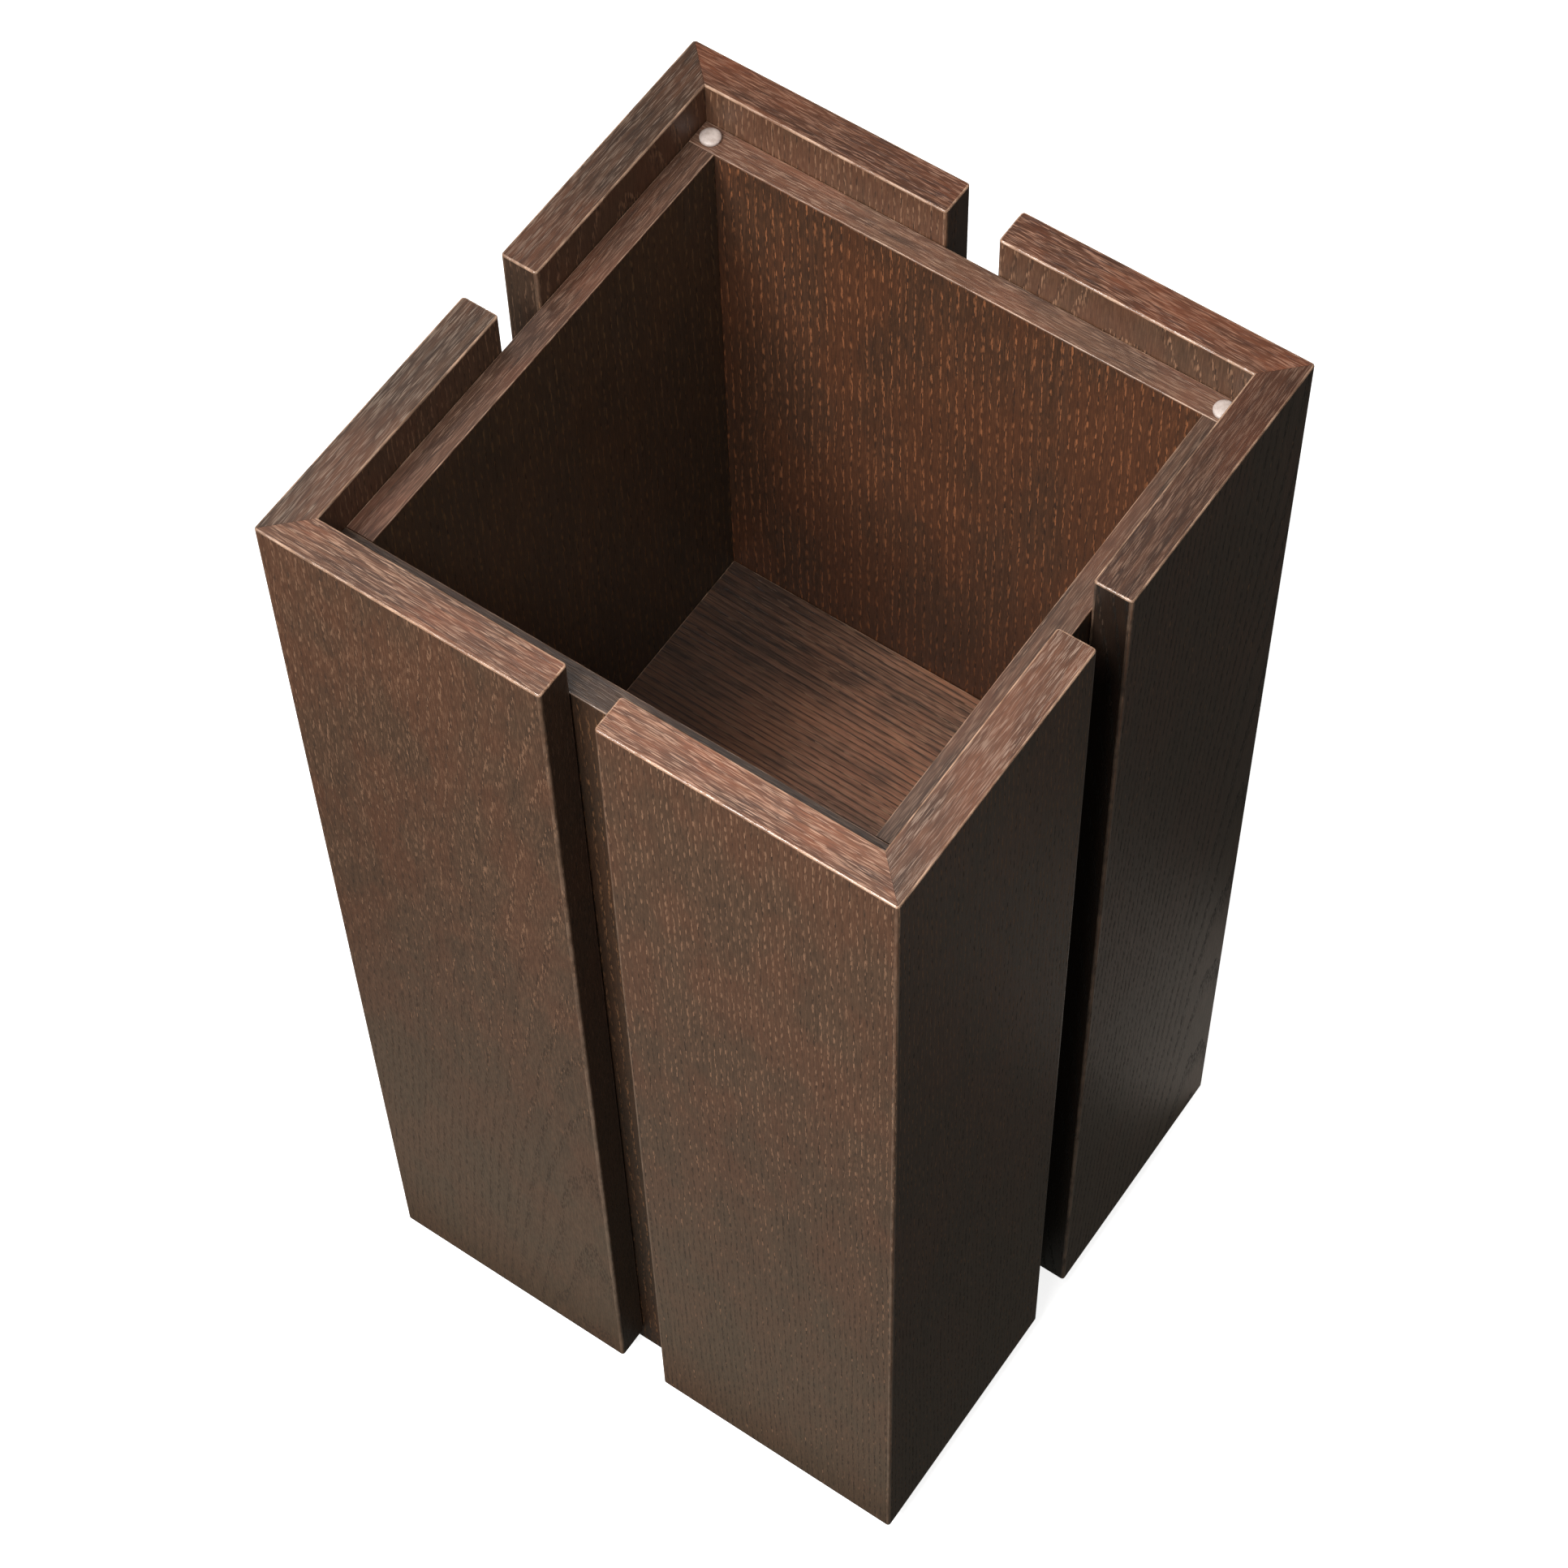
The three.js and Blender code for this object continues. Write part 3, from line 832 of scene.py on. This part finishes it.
for number, side in enumerate(SIDES):
    low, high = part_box(f"wall_{side}")
    lip_low, lip_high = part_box(f"rim_lipping_{side}")
    run = run_of(side)
    wall_data = eased_block(
        low, Vector((high.x, high.y, lip_low.z - LIP_SEAM)), RIM_EASING,
        lambda a, b: is_long(a, b, run) and max(a.z, b.z) < middle(f"wall_{side}").z,
    )
    mark_sharp(wall_data, SHARP_ANGLE)
    mark_worn(wall_data, BOX_WORN)
    wall = finish_mesh(wall_data, f"oak_wall_{side}")
    cutters = [screw_cutter(side, i) for i in (1, 2)]
    for corner_name in CORNERS:
        if side in corner_name:
            cutters += [dowel_cutter(f"dowel_{corner_name}_{i}") for i in (1, 2, 3)]
            if run == 0:  # the glides are pinned into the front and back walls
                cutters.append(glide_cutter(f"glide_{corner_name}"))
    bored(wall, cutters)
    keep_faces_flat(wall)
    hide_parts(f"wall_{side}")
    centre = (low + high) / 2
    out = OUTWARD[side]
    pith = (centre.x - 0.3 * abs(out.y) + 0.03 * out.x, centre.y - 0.3 * abs(out.x) + 0.03 * out.y)
    stain = INSIDE.varied(WALL_TONES_AND_SHEEN[side])
    wall_look = oak(f"oak_wall_{side}", "z", offset_for(WALLS + number), pith, (0.01, 0.01), stain)
    paint(wall, wall_look)

    lip_data = eased_block(
        lip_low, lip_high, RIM_EASING,
        lambda a, b: is_long(a, b, run) and min(a.z, b.z) > (lip_low.z + lip_high.z) / 2,
    )
    mark_sharp(lip_data, SHARP_ANGLE)
    mark_worn(lip_data, BOX_WORN)
    rim = finish_mesh(lip_data, f"oak_rim_{side}")
    keep_faces_flat(rim)
    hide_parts(f"rim_lipping_{side}")
    stain = RIM_EDGE.varied(RIM_TONES_AND_SHADE[side])
    rim_look = oak(f"oak_rim_{side}", "xy"[run], offset_for(RIMS + number), (0.1, 0.3), (0.02, 0.01), stain)
    paint(rim, rim_look)

low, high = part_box("floor_panel")
panel_data = eased_block(low, high, PANEL_EASING, lambda a, b: True)
mark_sharp(panel_data, SHARP_ANGLE)
mark_worn(panel_data, PANEL_WORN)
panel = finish_mesh(panel_data, "oak_floor_panel")
keep_faces_flat(panel)
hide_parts("floor_panel")
panel_look = oak("oak_floor_panel", "x", offset_for(PANEL), (-0.5, high.z), (0.02, 0.01), FLOOR)
paint(panel, panel_look)

for number, side in enumerate(SIDES):
    low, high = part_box(f"floor_cleat_{side}")
    run = run_of(side)
    cleat_data = eased_block(low, high, CLEAT_EASING, lambda a, b: is_long(a, b, run))
    mark_sharp(cleat_data, SHARP_ANGLE)
    cleat = finish_mesh(cleat_data, f"pine_cleat_{side}")
    bored(cleat, [screw_cutter(side, i) for i in (1, 2)])
    keep_faces_flat(cleat)
    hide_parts(f"floor_cleat_{side}")
    paint(cleat, pine(f"pine_{side}", "xy"[run], offset_for(CLEATS + number)))

zinc_look = zinc("zinc_plate")
for side in SIDES:
    for number in (1, 2):
        seat, direction = screw_seat(side, number)
        screw_data = turned_data(screw_profile(), HOLE_SIDES, turn_z_to(direction), seat)
        mark_sharp(screw_data, SHARP_ANGLE)
        screw = finish_mesh(screw_data, f"screw_{side}_{number}")
        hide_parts(f"cleat_screw_{side}_{number}")
        paint(screw, zinc_look)

nylon_look = nylon("black_nylon")
for corner_name in CORNERS:
    place = middle(f"glide_{corner_name}")
    profile = glide_profile(f"glide_{corner_name}")
    glide_data = turned_data(profile, GLIDE_SIDES, UPRIGHT, (place.x, place.y, 0))
    mark_sharp(glide_data, SHARP_ANGLE)
    glide = finish_mesh(glide_data, f"nylon_glide_{corner_name}")
    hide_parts(f"glide_{corner_name}")
    paint(glide, nylon_look)

for number, corner_name in enumerate(CORNERS):
    for i in (1, 2, 3):
        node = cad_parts[f"dowel_{corner_name}_{i}"]
        node.data.materials.clear()
        node.data.materials.append(beech(f"beech_{corner_name}_{i}", offset_for(DOWELS + 3 * number + i)))

CROWN_STEPS = 12

pad_look = pale_pad("pale_pad")
for corner_name in CORNERS:
    node = f"rim_pad_{corner_name}"
    low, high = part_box(node)
    radius = (high.x - low.x) / 2
    height = high.z - low.z
    bevel = 0.15 * MM
    lip = 0.9 * MM  # the straight side, with a crown above it
    profile = [(0, 0), (radius - bevel, 0), (radius, bevel), (radius, lip - 0.2 * MM)]
    for step in range(CROWN_STEPS):
        angle = math.pi / 2 * step / CROWN_STEPS
        profile.append((radius * math.cos(angle) ** 0.75, lip + (height - lip) * math.sin(angle)))
    profile.append((0, height))
    place = middle(node)
    pad_data = turned_data(profile, PAD_SIDES, UPRIGHT, (place.x, place.y, low.z))
    mark_sharp(pad_data, PAD_SHARP_ANGLE)
    pad = finish_mesh(pad_data, f"pad_{corner_name}")
    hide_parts(node)
    paint(pad, pad_look)

# ------------------------------------------------------------------ studio

FLOOR_RADIUS = 4.0
WALL_CURVE = 1.5  # radius of the curve from the floor to the wall
WALL_TOP = 5.0
DISH_STEPS = 8
DISH_SIDES = 96


def stage_dish():
    """A pale floor that turns up into a wall all round, far from the object."""
    profile = [(FLOOR_RADIUS * i / DISH_STEPS, 0.0) for i in range(1, DISH_STEPS + 1)]
    for i in range(1, DISH_STEPS + 1):
        angle = math.pi / 2 * i / DISH_STEPS
        profile.append((FLOOR_RADIUS + WALL_CURVE * math.sin(angle), WALL_CURVE * (1 - math.cos(angle))))
    profile.append((FLOOR_RADIUS + WALL_CURVE, WALL_TOP))
    dish = bmesh.new()
    centre = dish.verts.new((0, 0, 0))
    angles = [2 * math.pi * i / DISH_SIDES for i in range(DISH_SIDES)]
    rings = [
        add_ring(dish, [(radius * math.cos(t), radius * math.sin(t), height) for t in angles])
        for radius, height in profile
    ]
    for i in range(DISH_SIDES):
        dish.faces.new((centre, rings[0][i], rings[0][(i + 1) % DISH_SIDES]))
    for lower, upper in zip(rings, rings[1:]):
        join_rings(dish, lower, upper)
    bmesh.ops.recalc_face_normals(dish, faces=dish.faces)
    bmesh.ops.reverse_faces(dish, faces=[face for face in dish.faces if face.normal.z < -0.001])
    mesh = bpy.data.meshes.new("studio_floor")
    dish.to_mesh(mesh)
    dish.free()
    mesh.shade_smooth()
    floor = bpy.data.objects.new("studio_floor", mesh)
    bpy.context.scene.collection.objects.link(floor)
    look = Look("studio_white")
    look.surface((0.85, 0.85, 0.85, 1), 0.9, 0.0)
    look.shader.inputs["Emission Color"].default_value = (1, 1, 1, 1)
    look.shader.inputs["Emission Strength"].default_value = 0.85
    mesh.materials.append(look.material)
    floor.visible_diffuse = False
    floor.visible_glossy = False
    floor.visible_shadow = False


def soft_light(name, place, aim, size, power, tint=(1, 1, 1)):
    light = bpy.data.lights.new(name, "AREA")
    light.shape = "DISK"
    light.size = size
    light.energy = power
    light.color = tint
    lamp = bpy.data.objects.new(name, light)
    lamp.location = place
    lamp.rotation_euler = (Vector(aim) - Vector(place)).to_track_quat("-Z", "Y").to_euler()
    lamp.visible_camera = False
    bpy.context.scene.collection.objects.link(lamp)
    return lamp


stage_dish()
BODY = (0, 0, 0.4)  # where most of the lights point

soft_light("key", (-0.6, -2.0, 2.6), BODY, 1.0, 76)
soft_light("fill", (0.4, -2.4, 1.6), BODY, 1.0, 8)
soft_light("near", (0.1, -0.75, 1.9), BODY, 0.5, 15)
soft_light("left", (-0.95, 0.05, 2.05), BODY, 0.7, 3)
soft_light("top", (0.0, 0.0, 2.6), BODY, 1.0, 2)
soft_light("behind", (-1.4, 1.6, 0.36), (0, 0, 0.33), 0.55, 20)

# A narrow beam into the well. A narrow spread makes a light much stronger for its power.
grid = soft_light("grid", (-0.5, -0.1, 2.4), (0.1, -0.06, 0.5), 0.4, 0.16)
grid.data.spread = math.radians(14)

# Two low cards that face up from the floor: one before the front faces, one beside the right foot.
card = soft_light("card", (-0.05, -0.27, 0.005), (-0.05, -0.27, 1.0), 0.44, 0.06, (1.0, 0.98, 0.8))
card.data.shape = "RECTANGLE"
card.data.size_y = 0.2
soft_light("glint", (0.21, 0.19, 0.003), (0.21, 0.19, 1.0), 0.14, 0.014, (1.0, 0.9, 0.8))

world = bpy.data.worlds.new("studio_air")
bpy.context.scene.world = world
world.use_nodes = True
background = world.node_tree.nodes["Background"]
background.inputs["Color"].default_value = (1, 0.98, 0.88, 1)
background.inputs["Strength"].default_value = 0.083

bpy.context.scene.view_settings.view_transform = "Standard"
bpy.context.scene.view_settings.look = "None"

# ------------------------------------------------------------------ camera

CAMERA_PLACE = Vector((0.54473, -0.75659, 1.96484))
CAMERA_AIM = Vector((-0.0283, 0.0278, 0.325))
CAMERA_ROLL = math.radians(-1.84)
CAMERA_LENS = 94.53

camera_data = bpy.data.cameras.new("camera")
camera_data.lens = CAMERA_LENS
camera_data.sensor_width = 36
camera = bpy.data.objects.new("camera", camera_data)
turn = (CAMERA_AIM - CAMERA_PLACE).to_track_quat("-Z", "Y") @ Quaternion((0, 0, 1), CAMERA_ROLL)
camera.location = CAMERA_PLACE
camera.rotation_euler = turn.to_euler()
bpy.context.scene.collection.objects.link(camera)
bpy.context.scene.camera = camera
